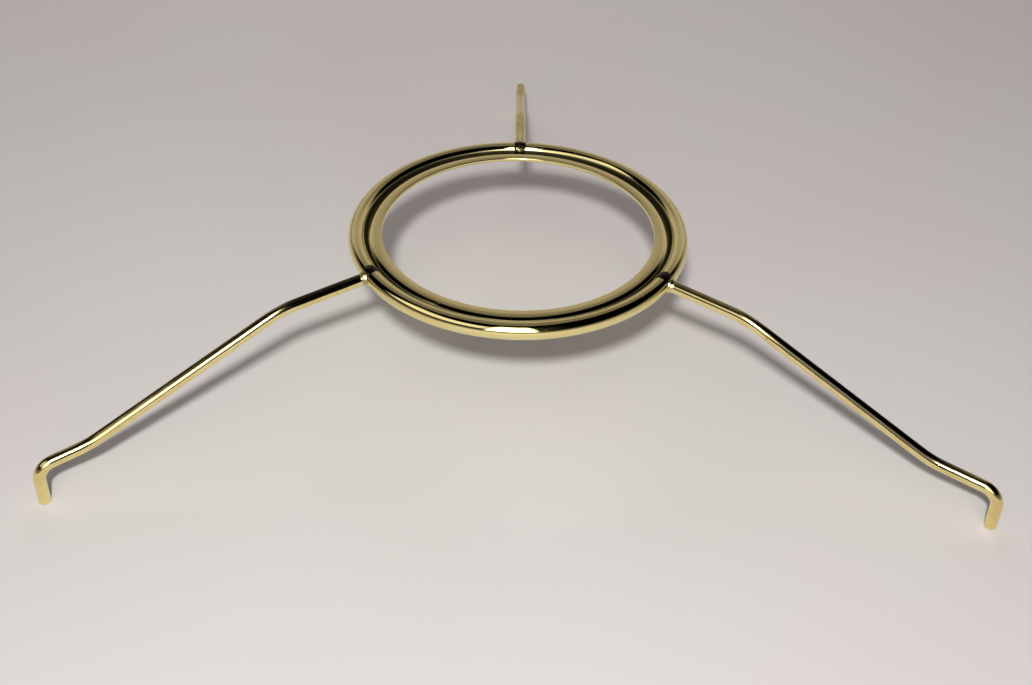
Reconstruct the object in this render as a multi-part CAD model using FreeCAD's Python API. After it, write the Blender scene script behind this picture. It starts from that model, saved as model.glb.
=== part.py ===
import FreeCAD, Part
import math
import os

# A tripod shade holder for an oil-lamp burner: a brass ring with three bent wire arms brazed into it.
# It stands on the tips of its arms, with the ring on top. The origin is the centre of the ring's hole,
# on the flat upper face of the flange. +Z is up and +Y is along the back arm.

# Ring
hole_radius = 35.0          # the hole drops over the burner's collar
flange_thickness = 1.0
flange_width = 2.45         # from the hole to the corner where the flange turns down
lip_rounding = 0.25         # edges of the hole
droop_width = 1.35          # from that corner out to the border's edge
droop_bend = 1.6            # bend radius on the upper face
edge_rounding = 0.3         # upper edge of the border, beside the groove
groove_depth = 1.25         # below the flange's face
groove_width = 0.5          # at its floor, between the border and the bead
bead_radius = 2.2
crown_rise = 1.05           # height of the bead's crown above the flange's face
root_bite = 0.17            # how far the border's underside runs inside the bead's round
root_fillet = 1.0           # underneath, where the border meets the bead

# Wire arms. A corner is where the straight runs on either side of a bend would meet.
wire_radius = 1.5
shade_rim_radius = 127.0    # a shade with a 10 inch rim rests on the seats, inside the tips
rim_clearance = 1.5         # between the shade's rim and the inner side of a tip
knee_reach = 21.0           # from the bead's outside to the knee
knee_drop = 3.35            # from the flange's face down to the knee
seat_length = 14.9          # from the seat's first corner out to the tip
seat_fall = 2.1             # from the seat's first corner down to its second
tip_length = 10.6           # from the seat's second corner down to the end of the tip
tip_drop = 38.0             # from the flange's face down to the ends of the tips
knee_bend = 26.0            # bend radii, to the middle of the wire
seat_bend = 22.0
tip_bend = 4.6
tip_rounding = 0.35         # the cut end of each tip

# The arms were bent by hand, so the bends and the tip of each lie a little off their nominal places.
ARMS = {
    "back": {"azimuth": 90.0, "bend_drift": 0.0, "tip_drift": 0.0},
    "left": {"azimuth": 210.0, "bend_drift": 0.9, "tip_drift": -1.4},
    "right": {"azimuth": 330.0, "bend_drift": -0.8, "tip_drift": 1.3},
}

# Brazed joints
braze_gap = 0.05            # between a wire and the hole it is brazed into
braze_proud = 0.2           # how far the braze stands proud of the bead's crown
braze_spread = 1.6          # half its width on the crown, along the bead
collar_proud = 0.35         # braze around the wire where it leaves the bead
collar_length = 1.1         # from the bead's outside to where the collar thins out on the wire
wire_end_inset = 0.9        # from the bead's inner side to the end of the wire

# Places worked out from the sizes above
flange_corner = hole_radius + flange_width
border_edge = flange_corner + droop_width
groove_foot = border_edge + groove_width
bead_drop = bead_radius - crown_rise
bead_centre = groove_foot + math.sqrt(bead_radius ** 2 - (bead_drop - groove_depth) ** 2)
bead_reach = bead_centre - flange_corner
droop_angle = math.degrees(
    math.acos((flange_thickness - bead_radius + root_bite) / math.hypot(bead_reach, bead_drop))
    - math.atan2(bead_reach, bead_drop)
)
tip_centre = shade_rim_radius + rim_clearance + wire_radius
wire_start = bead_centre - bead_radius + wire_end_inset
knee_radius = bead_centre + bead_radius + knee_reach
seat_start_radius = tip_centre - seat_length
seat_end_drop = tip_drop - tip_length
seat_start_drop = seat_end_drop - seat_fall


def point(radius, height):
    """A point in the upright plane through the ring's axis, at this radius and height."""
    return FreeCAD.Vector(radius, 0, height)


def arc(centre, radius, start, end):
    """An arc in that plane about centre, from angle start to angle end, in degrees from outwards to up."""
    ends = []
    for angle in (start, (start + end) / 2, end):
        turn = math.radians(angle)
        ends.append(centre + point(radius * math.cos(turn), radius * math.sin(turn)))
    return Part.Arc(*ends).toShape()


def closed_face(edges):
    """The face inside edges that follow each other, with straight lines where one stops short of the next."""
    outline = []
    for edge, following in zip(edges, edges[1:] + edges[:1]):
        outline.append(edge)
        stop = edge.lastVertex(True).Point
        start = following.firstVertex(True).Point
        if stop.distanceToPoint(start) > 1e-6:
            outline.append(Part.makeLine(stop, start))
    return Part.Face(Part.Wire(outline))


def turned(face):
    """The solid that face sweeps about the ring's axis."""
    return face.revolve(FreeCAD.Vector(0, 0, 0), FreeCAD.Vector(0, 0, 1), 360)


def placed_round(shape, azimuth):
    """A copy of shape turned about the ring's axis, from +X to azimuth."""
    copy = shape.copy()
    copy.rotate(FreeCAD.Vector(0, 0, 0), FreeCAD.Vector(0, 0, 1), azimuth)
    return copy


def ring_blank():
    """The ring before it is drilled: flange, turned-down border, groove and round bead, in one piece."""
    droop = math.radians(droop_angle)
    outwards = point(math.cos(droop), -math.sin(droop))
    under = point(-math.sin(droop), -math.cos(droop))
    lip = hole_radius + lip_rounding
    half_turn = math.tan(droop / 2)
    bend = point(flange_corner - droop_bend * half_turn, -droop_bend)
    edge_drop = droop_width * math.tan(droop)
    edge_setback = edge_rounding * math.tan((math.pi / 2 - droop) / 2)
    edge = point(border_edge - edge_rounding, -edge_drop - edge_setback)
    bead = point(bead_centre, -bead_drop)
    groove_angle = math.degrees(math.atan2(bead_drop - groove_depth, groove_foot - bead_centre))
    if groove_angle < 0:
        groove_angle += 360

    bend_under = bend - under * (droop_bend - flange_thickness)
    side = bend_under + under * root_fillet - bead
    along = side.dot(outwards)
    reach = bead_radius + root_fillet
    root = bead + side - outwards * (along + math.sqrt(along ** 2 + reach ** 2 - side.dot(side)))
    root_angle = math.degrees(math.atan2(bead.z - root.z, bead.x - root.x))
    edges = [
        arc(point(lip, -flange_thickness + lip_rounding), lip_rounding, 270, 180),
        arc(point(lip, -lip_rounding), lip_rounding, 180, 90),
        arc(bend, droop_bend, 90, 90 - droop_angle),
        arc(edge, edge_rounding, 90 - droop_angle, 0),
        Part.makeLine(point(border_edge, -groove_depth), point(groove_foot, -groove_depth)),
        arc(bead, bead_radius, groove_angle, root_angle - 180),
        arc(root, root_fillet, root_angle, 90 - droop_angle),
        arc(bend, droop_bend - flange_thickness, 90 - droop_angle, 90),
    ]
    return turned(closed_face(edges))


def arm_corners(arm):
    """The corners of an arm's bent wire, from its end in the ring to its tip."""
    bends = arm["bend_drift"]
    tip = tip_centre + arm["tip_drift"]
    start = point(bead_centre, -bead_drop)
    knee = point(knee_radius + bends, -knee_drop)
    along = (knee - start).normalize()
    return [
        start - along * (bead_centre - wire_start),
        knee,
        point(seat_start_radius + bends, -seat_start_drop),
        point(tip, -seat_end_drop),
        point(tip, -tip_drop),
    ]


def bent_path(corners, bends):
    """Straight runs between the corners, joined by tangent arcs with these bend radii."""
    edges = []
    last = corners[0]
    for before, corner, after, bend in zip(corners, corners[1:], corners[2:], bends):
        inwards = (before - corner).normalize()
        outwards = (after - corner).normalize()
        turn = math.pi - inwards.getAngle(outwards)
        setback = bend * math.tan(turn / 2)
        middle = (inwards + outwards).normalize()
        crest = corner + middle * (bend / math.cos(turn / 2) - bend)
        edges.append(Part.makeLine(last, corner + inwards * setback))
        last = corner + outwards * setback
        edges.append(Part.Arc(corner + inwards * setback, crest, last).toShape())
    edges.append(Part.makeLine(last, corners[-1]))
    return Part.Wire(edges)


def wire_arm(arm):
    """One bent wire, with the edge of its cut tip rounded off."""
    corners = arm_corners(arm)
    along = corners[1] - corners[0]
    section = Part.Wire(Part.makeCircle(wire_radius, corners[0], along))
    wire = bent_path(corners, [knee_bend, seat_bend, tip_bend]).makePipeShell([section], True, True)
    tip_edges = [edge for edge in wire.Edges if abs(edge.BoundBox.ZMax + tip_drop) < 0.001]
    return wire.makeFillet(tip_rounding, tip_edges)


def wire_hole(arm):
    """The hole that an arm's wire is brazed into, from inside the flange to clear of the bead."""
    corners = arm_corners(arm)
    along = (corners[1] - corners[0]).normalize()
    length = bead_centre + 2 * bead_radius + collar_length - wire_start
    return Part.makeCylinder(wire_radius + braze_gap, length, corners[0] - along * braze_gap, along)


def braze(arm, blank):
    """The braze at one arm: a saddle over the bead, and a collar that thins out along the wire."""
    bead = point(bead_centre, -bead_drop)
    saddle_height = bead_radius + braze_proud
    saddle_width = braze_spread / math.sqrt(1 - (bead_radius / saddle_height) ** 2)
    stretch = FreeCAD.Matrix()
    stretch.scale(saddle_height, saddle_width, saddle_height)
    saddle = Part.makeSphere(1).transformGeometry(stretch)
    saddle.translate(bead)

    collar_radius = wire_radius + collar_proud
    collar_end = bead_radius + collar_length
    hollow = (collar_length ** 2 + collar_proud ** 2) / (2 * collar_proud)
    hollow_start = 270 - math.degrees(math.asin(collar_length / hollow))
    edges = [
        Part.makeLine(point(0, 0), point(0, collar_radius)),
        arc(point(collar_end, wire_radius + hollow), hollow, hollow_start, 270),
        Part.makeLine(point(collar_end, wire_radius), point(collar_end, 0)),
    ]
    collar = closed_face(edges).revolve(point(0, 0), point(1, 0), 360)
    start, knee = arm_corners(arm)[:2]
    slope = math.degrees(math.atan2(start.z - knee.z, knee.x - start.x))
    collar.rotate(point(0, 0), FreeCAD.Vector(0, 1, 0), slope)
    collar.translate(bead)
    return saddle.fuse(collar).cut(wire_hole(arm)).cut(blank)


os.makedirs("parts", exist_ok=True)

blank = ring_blank()
ring = blank
for name, arm in ARMS.items():
    azimuth = arm["azimuth"]
    ring = ring.cut(placed_round(wire_hole(arm), azimuth))
    placed_round(wire_arm(arm), azimuth).exportStep(f"parts/arm_{name}.step")
    placed_round(braze(arm, blank), azimuth).exportStep(f"parts/braze_{name}.step")
ring.exportStep("parts/ring.step")
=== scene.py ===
import bmesh
import bpy
import math
from mathutils import Matrix, Vector


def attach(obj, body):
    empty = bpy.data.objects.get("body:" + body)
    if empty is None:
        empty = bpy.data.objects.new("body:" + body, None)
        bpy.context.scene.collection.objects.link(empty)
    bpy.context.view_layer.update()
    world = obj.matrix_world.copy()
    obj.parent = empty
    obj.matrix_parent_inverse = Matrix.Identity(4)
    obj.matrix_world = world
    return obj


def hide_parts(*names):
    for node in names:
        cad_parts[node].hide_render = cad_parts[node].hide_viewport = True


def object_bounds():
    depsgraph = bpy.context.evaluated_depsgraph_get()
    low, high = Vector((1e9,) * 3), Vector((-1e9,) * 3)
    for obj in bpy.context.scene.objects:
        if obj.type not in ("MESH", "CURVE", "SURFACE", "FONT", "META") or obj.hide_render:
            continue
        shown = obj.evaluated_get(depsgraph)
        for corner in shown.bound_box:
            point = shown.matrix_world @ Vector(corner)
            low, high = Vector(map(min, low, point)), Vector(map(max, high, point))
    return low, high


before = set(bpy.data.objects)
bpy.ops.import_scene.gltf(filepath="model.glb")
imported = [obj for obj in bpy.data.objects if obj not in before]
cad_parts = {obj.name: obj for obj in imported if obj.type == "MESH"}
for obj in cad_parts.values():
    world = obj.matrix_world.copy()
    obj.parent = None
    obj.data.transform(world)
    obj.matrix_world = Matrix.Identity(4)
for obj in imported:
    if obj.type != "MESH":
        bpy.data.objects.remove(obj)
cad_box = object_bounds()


# The table: a smooth pale board that runs on into the pale backdrop, so it glows a little far out.
# The holder lies on it upside down, on the tips of its three arms.
table_height = cad_box[0][2]
table_size = 20.0
backdrop_colour = (0.47, 0.44, 0.43, 1)


def new_finish(name):
    """A new material, its node tree and its shader."""
    finish = bpy.data.materials.new(name)
    finish.use_nodes = True
    return finish, finish.node_tree, finish.node_tree.nodes["Principled BSDF"]


def feed(tree, socket, value):
    """Gives a socket another node's output, a number or a colour."""
    if isinstance(value, bpy.types.NodeSocket):
        tree.links.new(value, socket)
    else:
        socket.default_value = value


def maths(tree, operation, *values):
    """The outcome of one sum on these values."""
    node = tree.nodes.new("ShaderNodeMath")
    node.operation = operation
    for socket, value in zip(node.inputs, values):
        feed(tree, socket, value)
    return node.outputs["Value"]


def grain(tree, place, scale, detail=2.0, rough=0.5):
    """Soft random variation from 0 to 1, with scale blotches to the metre."""
    node = tree.nodes.new("ShaderNodeTexNoise")
    node.inputs["Scale"].default_value = scale
    node.inputs["Detail"].default_value = detail
    node.inputs["Roughness"].default_value = rough
    tree.links.new(place, node.inputs["Vector"])
    return node.outputs["Fac"]


def between(tree, value, low, high, out_low=0.0, out_high=1.0):
    """Turns value's stretch from low to high into out_low to out_high, smoothly, and holds it outside."""
    node = tree.nodes.new("ShaderNodeMapRange")
    node.interpolation_type = "SMOOTHSTEP"
    node.inputs["From Min"].default_value = low
    node.inputs["From Max"].default_value = high
    node.inputs["To Min"].default_value = out_low
    node.inputs["To Max"].default_value = out_high
    tree.links.new(value, node.inputs["Value"])
    return node.outputs["Result"]


def tinted(tree, amount, first, second):
    """The first colour where amount is 0, the second where it is 1."""
    node = tree.nodes.new("ShaderNodeMix")
    node.data_type = "RGBA"
    feed(tree, node.inputs["Factor"], amount)
    feed(tree, node.inputs[6], first)
    feed(tree, node.inputs[7], second)
    return node.outputs[2]


def parts_of(tree, vector):
    """The X, Y and Z of a vector."""
    node = tree.nodes.new("ShaderNodeSeparateXYZ")
    tree.links.new(vector, node.inputs["Vector"])
    return node.outputs["X"], node.outputs["Y"], node.outputs["Z"]


def relief(tree, height, depth, under=None):
    """Surface relief of this depth in metres, on top of the relief under it."""
    node = tree.nodes.new("ShaderNodeBump")
    node.inputs["Distance"].default_value = depth
    tree.links.new(height, node.inputs["Height"])
    if under:
        tree.links.new(under, node.inputs["Normal"])
    return node.outputs["Normal"]


bpy.ops.object.select_all(action="DESELECT")
bpy.ops.mesh.primitive_plane_add(size=table_size, location=(0, 0, table_height))
table = bpy.context.object
table.name = "table"
bpy.ops.object.transform_apply(location=True)

board, tree, shader = new_finish("pale_board")
shader.inputs["Specular IOR Level"].default_value = 0.06
place = tree.nodes.new("ShaderNodeTexCoord").outputs["Object"]
mottle = between(tree, grain(tree, place, 6.0, 3.0), 0.3, 0.7)
warm_white = (0.635, 0.585, 0.57, 1)
grey_white = (0.645, 0.62, 0.595, 1)
feed(tree, shader.inputs["Base Color"], tinted(tree, mottle, warm_white, grey_white))
feed(tree, shader.inputs["Roughness"], between(tree, grain(tree, place, 60.0), 0.3, 0.7, 0.7, 0.85))
feed(tree, shader.inputs["Normal"], relief(tree, grain(tree, place, 900.0, 3.0), 0.00001))
distance = tree.nodes.new("ShaderNodeVectorMath")
distance.operation = "LENGTH"
tree.links.new(place, distance.inputs["Vector"])
shader.inputs["Emission Color"].default_value = backdrop_colour
feed(tree, shader.inputs["Emission Strength"], between(tree, distance.outputs["Value"], 0.3, 0.8, 0.0, 0.94))
table.data.materials.append(board)


# The studio: one small lamp high on the near side, a weak soft one at the back, and a dim room.
# Polished metal shows the room: a bright window in front, a glow to its left, a grey wall behind
# and a low haze all round.
lamp_elevation = math.radians(41.3)
lamp_bearing = math.radians(-3)       # towards -X of straight in front
lamp_distance = 0.54
lamp_aim = Vector((0, 0.12, 0))
lamp_place = Vector((
    lamp_distance * math.cos(lamp_elevation) * math.sin(lamp_bearing),
    -lamp_distance * math.cos(lamp_elevation) * math.cos(lamp_bearing),
    lamp_distance * math.sin(lamp_elevation),
))
lamp_data = bpy.data.lights.new("soft_lamp", "AREA")
lamp_data.shape = "DISK"
lamp_data.size = 0.04
lamp_data.energy = 2.9
lamp_data.color = (0.99, 0.99, 0.99)
lamp = bpy.data.objects.new("soft_lamp", lamp_data)
lamp.location = lamp_place
lamp.rotation_euler = (lamp_aim - lamp_place).to_track_quat("-Z", "Y").to_euler()
bpy.context.scene.collection.objects.link(lamp)

fill_data = bpy.data.lights.new("back_fill", "AREA")
fill_data.size = 0.5
fill_data.energy = 1.35
fill_data.color = (1.0, 0.95, 0.96)
fill = bpy.data.objects.new("back_fill", fill_data)
fill.location = (-0.12, 0.6, 0.36)
fill_aim = Vector((0, 0.22, 0))
fill.rotation_euler = (fill_aim - fill.location).to_track_quat("-Z", "Y").to_euler()
fill.visible_glossy = False
bpy.context.scene.collection.objects.link(fill)

room = bpy.data.worlds.new("studio_room")
bpy.context.scene.world = room
room.use_nodes = True
tree = room.node_tree
tree.nodes.clear()
rightwards, backwards, upwards = parts_of(tree, tree.nodes.new("ShaderNodeTexCoord").outputs["Generated"])
bearing = maths(tree, "ARCTAN2", rightwards, maths(tree, "MULTIPLY", backwards, -1.0))
bearing = maths(tree, "DEGREES", bearing)      # 0 in front, negative to the left
elevation = maths(tree, "DEGREES", maths(tree, "ARCSINE", upwards))


def patch(left, right, low, high, soft):
    """1 inside a patch of the room, from bearing left to right and elevation low to high, in degrees."""
    sides = maths(
        tree, "MULTIPLY",
        between(tree, bearing, left - soft, left + soft), between(tree, bearing, right + soft, right - soft),
    )
    edges = maths(
        tree, "MULTIPLY",
        between(tree, elevation, low - soft, low + soft), between(tree, elevation, high + soft, high - soft),
    )
    return maths(tree, "MULTIPLY", sides, edges)


def backdrop(colour, strength):
    """Light of this colour and strength from the room."""
    node = tree.nodes.new("ShaderNodeBackground")
    node.inputs["Color"].default_value = colour
    feed(tree, node.inputs["Strength"], strength)
    return node.outputs["Background"]


def together(kind, first, second, amount=None):
    """Two lights added, or mixed by amount."""
    node = tree.nodes.new("ShaderNode" + kind)
    shaders = [socket for socket in node.inputs if socket.type == "SHADER"]
    tree.links.new(first, shaders[0])
    tree.links.new(second, shaders[1])
    if amount:
        tree.links.new(amount, node.inputs["Fac"])
    return node.outputs["Shader"]


window_strength = 2.7
haze_strength = 0.2
room_strength = 0.03
window = patch(-19, 13, 14, 71, 1.5)
glow = patch(-95, -21, 30, 57, 4)
haze = between(tree, elevation, 18.0, 12.0)
wall_height = tree.nodes.new("ShaderNodeValToRGB")
for end, at in zip(wall_height.color_ramp.elements, (0.12, 0.97)):
    end.position = at
    end.color = (0, 0, 0, 1)
for at, level in ((0.14, 0.44), (0.35, 0.41), (0.41, 0.24), (0.50, 0.18), (0.91, 0.17)):
    wall_height.color_ramp.elements.new(at).color = (level, level, level, 1)
tree.links.new(maths(tree, "DIVIDE", elevation, 90.0), wall_height.inputs["Fac"])
behind = between(tree, maths(tree, "ABSOLUTE", bearing), 128.0, 142.0)
wall = maths(tree, "MULTIPLY", behind, wall_height.outputs["Color"])
lit = backdrop((1, 0.98, 0.95, 1), maths(tree, "MULTIPLY", window, window_strength))
lit = together("AddShader", lit, backdrop((1, 0.96, 0.9, 1), glow))
lit = together("AddShader", lit, backdrop((1, 0.90, 0.85, 1), wall))
lit = together("AddShader", lit, backdrop((1, 0.94, 0.9, 1), maths(tree, "MULTIPLY", haze, haze_strength)))
path = tree.nodes.new("ShaderNodeLightPath")
lit = together("MixShader", lit, backdrop((1, 0.93, 0.95, 1), room_strength), path.outputs["Is Diffuse Ray"])
lit = together("MixShader", lit, backdrop(backdrop_colour, 1.0), path.outputs["Is Camera Ray"])
tree.links.new(lit, tree.nodes.new("ShaderNodeOutputWorld").inputs["Surface"])


# The camera looks down on the holder from in front, held a little off level.
camera_data = bpy.data.cameras.new("camera")
camera_data.sensor_fit = "HORIZONTAL"
camera_data.sensor_width = 36.0
camera_data.lens = 49.22
camera_data.clip_start = 0.01
camera = bpy.data.objects.new("camera", camera_data)
camera_place = (-0.0009, -0.3039, 0.2017)
camera_bearing = math.radians(-0.19)
camera_tilt = math.radians(90 - 38.19)        # from straight down
camera_roll = math.radians(1.41)
camera.matrix_world = (
    Matrix.Translation(camera_place)
    @ Matrix.Rotation(camera_bearing, 4, "Z")
    @ Matrix.Rotation(camera_tilt, 4, "X")
    @ Matrix.Rotation(camera_roll, 4, "Z")
)
bpy.context.scene.collection.objects.link(camera)
bpy.context.scene.camera = camera
bpy.context.scene.view_settings.view_transform = "Standard"


# The ring: solid brass, turned and polished. The flange round the hole sits on the burner, its border
# turns down to a deep narrow groove, and outside that a round bead stiffens the rim and holds the arms.
hole_radius = 0.035
flange_thickness = 0.001
flange_width = 0.00245
lip_rounding = 0.00025
droop_width = 0.00135
droop_bend = 0.0016
edge_rounding = 0.0003
groove_depth = 0.00125
groove_width = 0.0005
bead_radius = 0.0022
crown_rise = 0.00105
root_bite = 0.00017
root_fillet = 0.001

flange_corner = hole_radius + flange_width
border_edge = flange_corner + droop_width
groove_foot = border_edge + groove_width
bead_drop = bead_radius - crown_rise
bead_centre = groove_foot + math.sqrt(bead_radius ** 2 - (bead_drop - groove_depth) ** 2)
bead_reach = bead_centre - flange_corner
droop = math.acos((flange_thickness - bead_radius + root_bite) / math.hypot(bead_reach, bead_drop))
droop -= math.atan2(bead_reach, bead_drop)


def run(step):
    """Draws the selected points or rim on by step, a vector."""
    bpy.ops.mesh.extrude_region_move(TRANSFORM_OT_translate={"value": step})


def sweep(centre, degrees, per_step):
    """Draws the selected points or rim round centre, upwards from +X for positive degrees."""
    steps = max(2, math.ceil(abs(degrees) / per_step))
    bpy.ops.mesh.spin(steps=steps, angle=math.radians(degrees), center=centre, axis=(0, 1, 0))


def run_to(place):
    """Draws the single selected point on to place."""
    mesh = bmesh.from_edit_mesh(bpy.context.edit_object.data)
    now = [v.co.copy() for v in mesh.verts if v.select][0]
    run(Vector(place) - now)


lip = hole_radius + lip_rounding
bend = Vector((flange_corner - droop_bend * math.tan(droop / 2), 0, -droop_bend))
edge_drop = droop_width * math.tan(droop) + edge_rounding * math.tan((math.pi / 2 - droop) / 2)
edge = Vector((border_edge - edge_rounding, 0, -edge_drop))
bead = Vector((bead_centre, 0, -bead_drop))
groove_angle = math.degrees(math.atan2(bead_drop - groove_depth, groove_foot - bead_centre)) % 360
outwards = Vector((math.cos(droop), 0, -math.sin(droop)))
under = Vector((-math.sin(droop), 0, -math.cos(droop)))
bend_under = bend - under * (droop_bend - flange_thickness)
side = bend_under + under * root_fillet - bead
along = side.dot(outwards)
reach = bead_radius + root_fillet
root = bead + side - outwards * (along + math.sqrt(along ** 2 + reach ** 2 - side.dot(side)))
root_angle = math.degrees(math.atan2(bead.z - root.z, bead.x - root.x))
droop_end = 90 - math.degrees(droop)

bpy.ops.object.select_all(action="DESELECT")
bpy.ops.mesh.primitive_plane_add(size=0.0001, location=(bend.x, 0, -flange_thickness))
ring = bpy.context.object
ring.name = "polished_ring"
bpy.ops.object.transform_apply(location=True)
bpy.ops.object.mode_set(mode="EDIT")
bpy.ops.mesh.merge(type="CENTER")
run_to((lip, 0, -flange_thickness))
sweep((lip, 0, -flange_thickness + lip_rounding), -90, 22.5)
run_to((hole_radius, 0, -lip_rounding))
sweep((lip, 0, -lip_rounding), -90, 22.5)
run_to((bend.x, 0, 0))
sweep(bend, droop_end - 90, 3)
run_to(edge - under * edge_rounding)
sweep(edge, -droop_end, 15)
run_to((border_edge, 0, -groove_depth))
run_to((groove_foot, 0, -groove_depth))
sweep(bead, root_angle - 180 - groove_angle, 4)
sweep(root, droop_end - root_angle, 8)
run_to(bend_under)
sweep(bend, 90 - droop_end, 6)
bpy.ops.mesh.select_all(action="SELECT")
bpy.ops.mesh.remove_doubles(threshold=1e-7)
bpy.ops.mesh.spin(steps=360, angle=math.tau, center=(0, 0, 0), axis=(0, 0, 1))
bpy.ops.mesh.select_all(action="SELECT")
bpy.ops.mesh.remove_doubles(threshold=1e-7)
bpy.ops.mesh.normals_make_consistent(inside=False)
bpy.ops.object.mode_set(mode="OBJECT")
bpy.ops.object.shade_smooth_by_angle(angle=math.radians(35))

def out_from_axis(tree, x, y):
    """How far out a place lies from the ring's axis."""
    squares = maths(tree, "ADD", maths(tree, "MULTIPLY", x, x), maths(tree, "MULTIPLY", y, y))
    return maths(tree, "SQRT", squares)


# Its finish is bright brass with fine marks running round it from the polishing wheel, small pits,
# faint fingered patches where the shine is going, and painted shade, near black, down in the groove.
bright_brass = (0.93, 0.82, 0.385, 1)
fingered_brass = (0.88, 0.72, 0.31, 1)
pit_brown = (0.22, 0.14, 0.06, 1)
# The last colour is painted shade for the deep narrow groove.
groove_shade_black = (0.008, 0.006, 0.004, 1)
mark_stretch = 0.0006        # so small a step to the radian draws the marks out round the ring

brass, tree, shader = new_finish("polished_brass")
shader.inputs["Metallic"].default_value = 1.0
place = tree.nodes.new("ShaderNodeTexCoord").outputs["Object"]
x, y, z = parts_of(tree, place)
radius = out_from_axis(tree, x, y)
round_the_ring = tree.nodes.new("ShaderNodeCombineXYZ")
feed(tree, round_the_ring.inputs["X"], radius)
feed(tree, round_the_ring.inputs["Y"], maths(tree, "MULTIPLY", mark_stretch, maths(tree, "ARCTAN2", y, x)))
feed(tree, round_the_ring.inputs["Z"], z)
marks = grain(tree, round_the_ring.outputs["Vector"], 9000.0, 2.0)
patches = between(tree, grain(tree, place, 55.0, 4.0, 0.6), 0.42, 0.68)
pits = between(tree, grain(tree, place, 1700.0, 1.0), 0.74, 0.79)
pits = maths(tree, "MULTIPLY", pits, between(tree, grain(tree, place, 130.0), 0.42, 0.6))
# Painted shade: the groove between border and bead is coloured near black and made rough, where shade falls
# in the recess.
painted_groove_shade = maths(
    tree, "MULTIPLY",
    between(tree, radius, border_edge - 0.0005, border_edge - 0.0001),
    between(tree, radius, groove_foot + 0.0005, groove_foot + 0.0002),
)
painted_groove_shade = maths(tree, "MULTIPLY", painted_groove_shade, between(tree, z, -0.0018, -0.0014))
colour = tinted(tree, maths(tree, "MULTIPLY", patches, 0.55), bright_brass, fingered_brass)
colour = tinted(tree, maths(tree, "MULTIPLY", pits, 0.8), colour, pit_brown)
colour = tinted(tree, maths(tree, "MULTIPLY", painted_groove_shade, 0.97), colour, groove_shade_black)
feed(tree, shader.inputs["Base Color"], colour)
shine = between(tree, marks, 0.3, 0.7, 0.035, 0.075)
shine = maths(tree, "ADD", shine, maths(tree, "MULTIPLY", patches, 0.05))
shine = maths(tree, "ADD", shine, maths(tree, "MULTIPLY", pits, 0.3))
feed(tree, shader.inputs["Roughness"], maths(tree, "ADD", shine, maths(tree, "MULTIPLY", painted_groove_shade, 0.6)))
waves = relief(tree, grain(tree, place, 110.0, 1.0), 0.000012)
marked = relief(tree, marks, 0.0000008, waves)
feed(tree, shader.inputs["Normal"], relief(tree, maths(tree, "SUBTRACT", 1.0, pits), 0.00002, marked))
ring.data.materials.append(brass)
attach(ring, "root")
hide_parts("ring")


# The arms: round brass-plated wire, cut to length and bent by hand, three alike.
# Each leaves the bead nearly level, drops to a flat seat for the shade, and turns down at its tip.
wire_radius = 0.0015
shade_rim_radius = 0.127
rim_clearance = 0.0015
knee_reach = 0.021
knee_drop = 0.00335
seat_length = 0.0149
seat_fall = 0.0021
tip_length = 0.0106
tip_drop = 0.038
knee_bend = 0.026
seat_bend = 0.022
tip_bend = 0.0046
tip_rounding = 0.00035
wire_end_inset = 0.0009

tip_centre = shade_rim_radius + rim_clearance + wire_radius
knee_radius = bead_centre + bead_radius + knee_reach
seat_end_drop = tip_drop - tip_length


def bent_wire(name, azimuth, bend_drift, tip_drift):
    """One arm, drawn from its end in the bead to its tip and turned to its place round the ring."""
    knee = Vector((knee_radius + bend_drift, 0, -knee_drop))
    seat = Vector((tip_centre - seat_length + bend_drift, 0, -(seat_end_drop - seat_fall)))
    toe = Vector((tip_centre + tip_drift, 0, -seat_end_drop))
    tip = Vector((tip_centre + tip_drift, 0, -tip_drop))
    along = (knee - bead).normalized()
    start = bead - along * (bead_radius - wire_end_inset)
    slope = math.atan2(-along.z, along.x)
    bpy.ops.object.select_all(action="DESELECT")
    bpy.ops.mesh.primitive_circle_add(
        vertices=32, radius=wire_radius, fill_type="NOTHING",
        location=start, rotation=(0, math.pi / 2 + slope, 0),
    )
    wire = bpy.context.object
    wire.name = name
    bpy.ops.object.transform_apply(location=True, rotation=True)
    bpy.ops.object.mode_set(mode="EDIT")
    corners = [start, knee, seat, toe, tip]
    at = start
    bends = (knee_bend, seat_bend, tip_bend)
    for before, corner, after, bend in zip(corners, corners[1:], corners[2:], bends):
        inwards = (corner - before).normalized()
        outwards = (after - corner).normalized()
        turn = math.acos(max(-1.0, min(1.0, inwards.dot(outwards))))
        setback = bend * math.tan(turn / 2)
        left = inwards.x * outwards.z - inwards.z * outwards.x
        side = Vector((-inwards.z, 0, inwards.x)) * (1 if left > 0 else -1)
        straight = corner - inwards * setback - at
        pieces = max(1, round(straight.length / 0.002))
        for piece in range(pieces):
            run(straight / pieces)
        centre = corner - inwards * setback + side * bend
        sweep(centre, math.degrees(turn) * (1 if left > 0 else -1), 3.5)
        at = corner + outwards * setback
    for piece in range(3):
        run((tip - at) / 3)
    bpy.ops.mesh.edge_face_add()
    bpy.ops.mesh.bevel(offset=tip_rounding, segments=4)
    bpy.ops.mesh.select_all(action="SELECT")
    bpy.ops.mesh.fill_holes(sides=0)
    bpy.ops.mesh.select_all(action="SELECT")
    bpy.ops.mesh.normals_make_consistent(inside=False)
    bpy.ops.object.mode_set(mode="OBJECT")
    wire.rotation_euler = (0, 0, math.radians(azimuth))
    bpy.ops.object.transform_apply(rotation=True)
    bpy.ops.object.shade_smooth_by_angle(angle=math.radians(35))
    return wire
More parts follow.
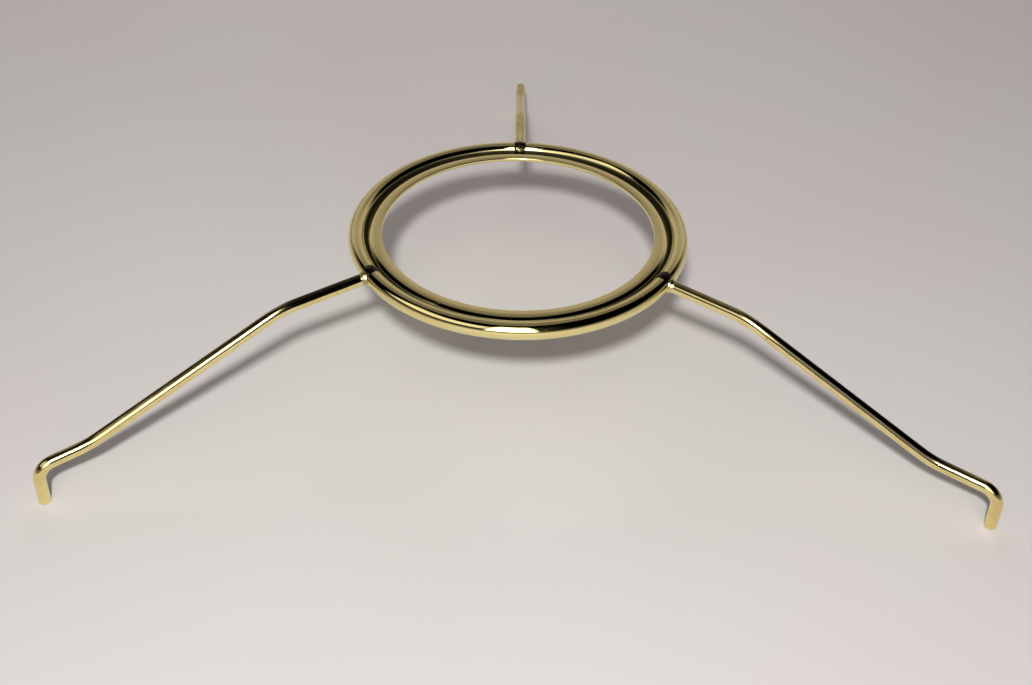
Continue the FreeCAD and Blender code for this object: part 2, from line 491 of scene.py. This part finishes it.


# The plating has long thin drawing marks. Its top is painted brown, a painted reflection of the dark room,
# nearly to black on the right arm's slope and the left arm's level run; on the back arm it is painted only
# faintly, and that arm's plating has gone dull. The cut ends show grey steel.
bright_plating = (0.91, 0.79, 0.37, 1)
worn_plating = (0.84, 0.68, 0.30, 1)
# The next two colours are painted reflections of the dark room on the wire tops: brown, then near black.
reflection_brown = (0.24, 0.17, 0.09, 1)
reflection_black = (0.03, 0.026, 0.02, 1)
speck_brown = (0.16, 0.10, 0.05, 1)
grey_steel = (0.38, 0.37, 0.36, 1)

plating, tree, shader = new_finish("plated_wire")
shader.inputs["Metallic"].default_value = 1.0
place = tree.nodes.new("ShaderNodeTexCoord").outputs["Object"]
x, y, z = parts_of(tree, place)
radius = out_from_axis(tree, x, y)
across = maths(tree, "MULTIPLY", radius, maths(tree, "ARCTAN2", y, x))
down_the_wire = tree.nodes.new("ShaderNodeCombineXYZ")
feed(tree, down_the_wire.inputs["X"], maths(tree, "MULTIPLY", radius, 0.02))
feed(tree, down_the_wire.inputs["Y"], across)
marks = grain(tree, down_the_wire.outputs["Vector"], 9000.0, 2.0)
facing_up = parts_of(tree, tree.nodes.new("ShaderNodeNewGeometry").outputs["Normal"])[2]
blotches = grain(tree, place, 170.0, 4.0, 0.6)
# Painted reflection: where the wire faces up it is coloured brown for the dark room it mirrors, in blotches,
# and only faintly on the back arm.
painted_top_reflection = between(tree, facing_up, 0.35, 0.95)
painted_top_reflection = maths(tree, "MULTIPLY", painted_top_reflection, between(tree, blotches, 0.3, 0.62, 0.45, 1.0))
painted_top_reflection = maths(tree, "MULTIPLY", painted_top_reflection, between(tree, y, 0.045, 0.03, 0.25, 1.0))
specks = between(tree, grain(tree, place, 1500.0, 1.0), 0.72, 0.78)
# Painted reflection: the upper side of the right arm's slope and of the left arm's level run is coloured near
# black for the dark room it mirrors.
right_slope = maths(tree, "MULTIPLY", between(tree, x, 0.055, 0.064), between(tree, x, 0.106, 0.098))
left_run = maths(tree, "MULTIPLY", between(tree, x, -0.058, -0.054), between(tree, x, -0.034, -0.038))
black = maths(tree, "MAXIMUM", right_slope, maths(tree, "MULTIPLY", left_run, 0.9))
uneven_top = maths(tree, "ADD", facing_up, maths(tree, "MULTIPLY", blotches, 0.3))
black = maths(tree, "MULTIPLY", black, between(tree, uneven_top, 0.42, 0.58))
cut = between(tree, z, 0.00025 - tip_drop, 0.0001 - tip_drop)
colour = tinted(tree, between(tree, blotches, 0.4, 0.7), bright_plating, worn_plating)
colour = tinted(tree, maths(tree, "MULTIPLY", painted_top_reflection, 0.85), colour, reflection_brown)
colour = tinted(tree, maths(tree, "MULTIPLY", specks, 0.7), colour, speck_brown)
colour = tinted(tree, maths(tree, "MULTIPLY", black, 0.95), colour, reflection_black)
feed(tree, shader.inputs["Base Color"], tinted(tree, cut, colour, grey_steel))
shine = maths(tree, "ADD", between(tree, marks, 0.3, 0.7, 0.06, 0.13), maths(tree, "MULTIPLY", painted_top_reflection, 0.06))
shine = maths(tree, "ADD", shine, maths(tree, "MULTIPLY", specks, 0.3))
shine = maths(tree, "ADD", shine, between(tree, y, 0.04, 0.06, 0.0, 0.22))
feed(tree, shader.inputs["Roughness"], maths(tree, "ADD", shine, maths(tree, "MULTIPLY", cut, 0.3)))
waves = relief(tree, grain(tree, place, 190.0, 1.0), 0.00002)
feed(tree, shader.inputs["Normal"], relief(tree, marks, 0.0000006, waves))

for name, azimuth, bend_drift, tip_drift in (
    ("back", 90, 0.0, 0.0),
    ("left", 210, 0.0009, -0.0014),
    ("right", 330, -0.0008, 0.0013),
):
    arm = bent_wire(f"bent_{name}_arm", azimuth, bend_drift, tip_drift)
    arm.data.materials.append(plating)
    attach(arm, "root")
    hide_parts(f"arm_{name}")


# The brazed joints: brass filler run in round each wire, a lumpy ridge over the bead and a collar on
# the wire. The torch has left it black over the bead, and no two are quite alike.
braze_proud = 0.0002
braze_spread = 0.0016
collar_proud = 0.00035
collar_length = 0.0011
bright_filler = (0.88, 0.76, 0.36, 1)
torch_black = (0.02, 0.015, 0.01, 1)

filler, tree, shader = new_finish("braze_metal")
shader.inputs["Metallic"].default_value = 1.0
place = tree.nodes.new("ShaderNodeTexCoord").outputs["Object"]
x, y, z = parts_of(tree, place)
scorched = between(tree, out_from_axis(tree, x, y), bead_centre + 0.0021, bead_centre + 0.0014)
soot = between(tree, grain(tree, place, 900.0, 4.0, 0.65), 0.25, 0.5, 0.75, 1.0)
stain = maths(tree, "MULTIPLY", 0.5, between(tree, grain(tree, place, 600.0, 4.0, 0.65), 0.4, 0.62))
stain = maths(tree, "MAXIMUM", stain, maths(tree, "MULTIPLY", scorched, soot))
feed(tree, shader.inputs["Base Color"], tinted(tree, stain, bright_filler, torch_black))
feed(tree, shader.inputs["Roughness"], between(tree, grain(tree, place, 2200.0), 0.3, 0.7, 0.12, 0.4))
feed(tree, shader.inputs["Normal"], relief(tree, grain(tree, place, 1800.0, 3.0), 0.00006))

lumps = bpy.data.textures.new("filler_lumps", "CLOUDS")
lumps.noise_scale = 0.0011
lumps.noise_depth = 1

for name, azimuth, bend_drift in (("back", 90, 0.0), ("left", 210, 0.0009), ("right", 330, -0.0008)):
    slope = math.atan2(knee_drop - bead_drop, knee_radius + bend_drift - bead_centre)
    saddle = bead_radius + braze_proud
    spread = braze_spread / math.sqrt(1 - (bead_radius / saddle) ** 2)
    bpy.ops.object.select_all(action="DESELECT")
    bpy.ops.mesh.primitive_uv_sphere_add(segments=64, ring_count=32, radius=saddle, location=bead)
    joint = bpy.context.object
    joint.name = f"{name}_braze"
    joint.scale = (1, spread / saddle, 1)
    bpy.ops.object.transform_apply(location=True, scale=True)
    bpy.ops.object.mode_set(mode="EDIT")
    bpy.ops.mesh.select_all(action="DESELECT")
    bpy.ops.mesh.primitive_circle_add(
        vertices=48, radius=wire_radius + collar_proud, fill_type="NGON",
        location=bead, rotation=(0, math.pi / 2 + slope, 0),
    )
    leg = Vector((math.cos(slope), 0, -math.sin(slope)))
    run(leg * bead_radius)
    last_share = 0.0
    last_width = 1.0
    for share, width in ((0.12, 0.62), (0.3, 0.34), (0.55, 0.14), (0.8, 0.04), (1.0, 0.01)):
        run(leg * collar_length * (share - last_share))
        shrink = (wire_radius + collar_proud * width) / (wire_radius + collar_proud * last_width)
        rim_centre = bead + leg * (bead_radius + collar_length * share)
        bpy.ops.transform.resize(value=(shrink, shrink, shrink), center_override=rim_centre)
        last_share = share
        last_width = width
    bpy.ops.mesh.select_all(action="SELECT")
    bpy.ops.mesh.normals_make_consistent(inside=False)
    bpy.ops.object.mode_set(mode="OBJECT")
    joint.rotation_euler = (0, 0, math.radians(azimuth))
    bpy.ops.object.transform_apply(rotation=True)
    skin = joint.modifiers.new("flow", "REMESH")
    skin.mode = "VOXEL"
    skin.voxel_size = 0.0001
    ease = joint.modifiers.new("ease", "SMOOTH")
    ease.iterations = 6
    rough = joint.modifiers.new("lumps", "DISPLACE")
    rough.texture = lumps
    rough.texture_coords = "LOCAL"
    rough.mid_level = 0.5
    rough.strength = 0.00016
    for modifier in ("flow", "ease", "lumps"):
        bpy.ops.object.modifier_apply(modifier=modifier)
    bpy.ops.object.shade_smooth()
    joint.data.materials.append(filler)
    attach(joint, "root")
    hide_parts(f"braze_{name}")
